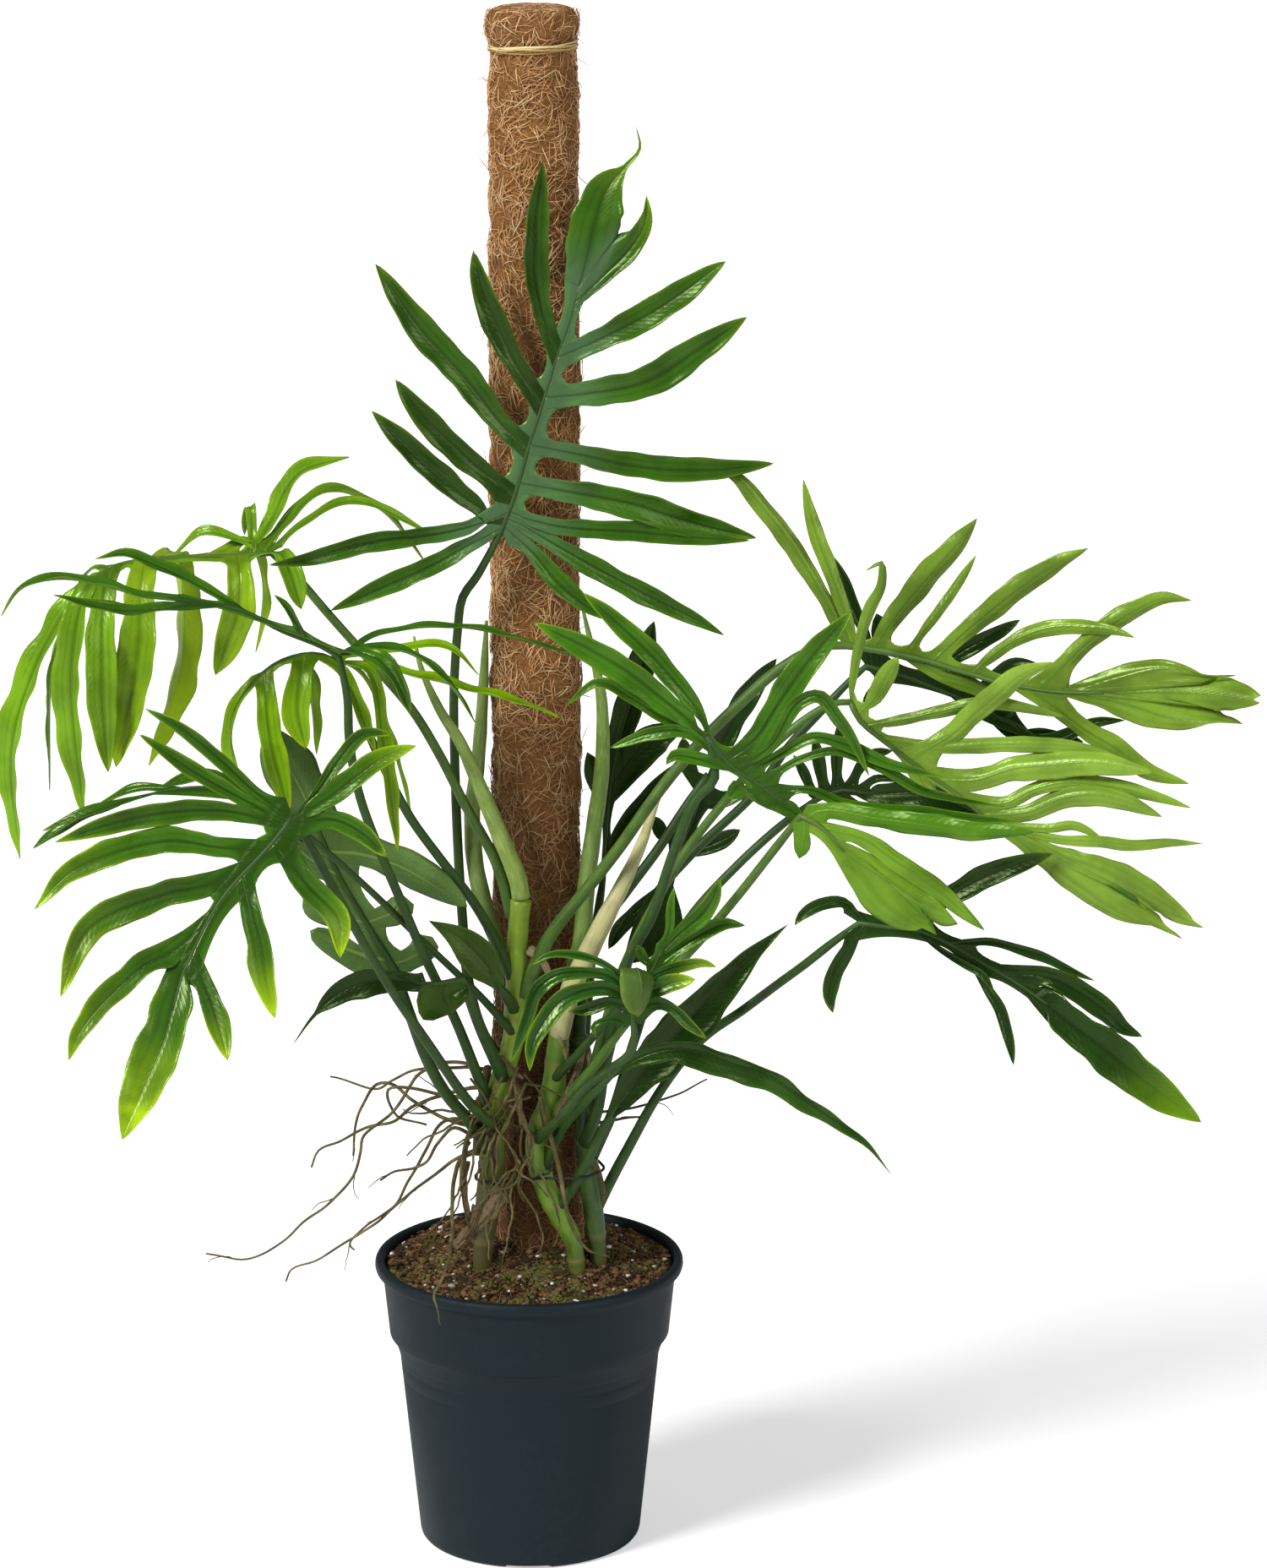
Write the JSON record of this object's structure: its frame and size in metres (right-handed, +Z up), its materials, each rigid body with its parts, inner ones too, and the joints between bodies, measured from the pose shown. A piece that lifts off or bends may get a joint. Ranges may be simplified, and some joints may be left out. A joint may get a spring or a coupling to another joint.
{
  "type": "potted plant",
  "caption": "Climbing aroid with deeply cut, feathery leaves on a coir pole, with aerial roots, in a round nursery pot",
  "frame": {"origin": "middle of the pot's foot, on the ground", "axes": "+Z up, -Y towards the front the plant is seen from, +X to the viewer's right"},
  "size_m": [0.9185, 0.425, 1.195],
  "materials": {
    "pot_plastic": "satin dark grey",
    "soil_mix": "rough, damp",
    "stake_wood": "rough",
    "coir": "fibrous",
    "straw_tie": "matt",
    "tie_wire": "matt",
    "cane_green": "smooth",
    "spear_green": "smooth",
    "spear_cream": "smooth",
    "leaf_deep": "glossy",
    "leaf_mid": "satin",
    "leaf_bright": "satin",
    "leaf_pale": "satin",
    "root_brown": "rough",
    "dry_sheath": "papery"
  },
  "bodies": {
    "root": {"pot": "pot_plastic", "soil": "soil_mix", "pole_core": "stake_wood", "pole_coir": "coir", "pole_band": "straw_tie", "plant_tie": "tie_wire", "cane_front": "cane_green", "cane_right": "cane_green", "cane_side": "cane_green", "spear_left": "spear_green", "spear_back": "spear_green", "spear_right": "spear_green", "spear_yellow": "spear_cream", "leaf_crown": "leaf_deep", "leaf_left_high": "leaf_bright", "leaf_left_middle": "leaf_mid", "leaf_left_low": "leaf_bright", "leaf_front_left": "leaf_deep", "leaf_left_thin": "leaf_mid", "leaf_left_pale": "leaf_pale", "leaf_left_dark": "leaf_deep", "leaf_left_short": "leaf_mid", "leaf_right_high": "leaf_pale", "leaf_right_middle": "leaf_pale", "leaf_centre_right": "leaf_mid", "leaf_right_long": "leaf_bright", "leaf_right_low": "leaf_deep", "leaf_right_shade": "leaf_deep", "leaf_right_back": "leaf_deep", "leaf_back": "leaf_deep", "leaf_back_right": "leaf_deep", "leaf_plain_up": "leaf_deep", "leaf_plain_arched": "leaf_mid", "leaf_young": "leaf_mid", "leaf_young_back": "leaf_mid", "roots_left": "root_brown", "roots_right": "root_brown", "dry_sheath_left": "dry_sheath", "dry_sheath_middle": "dry_sheath"}
  },
  "joints": []
}
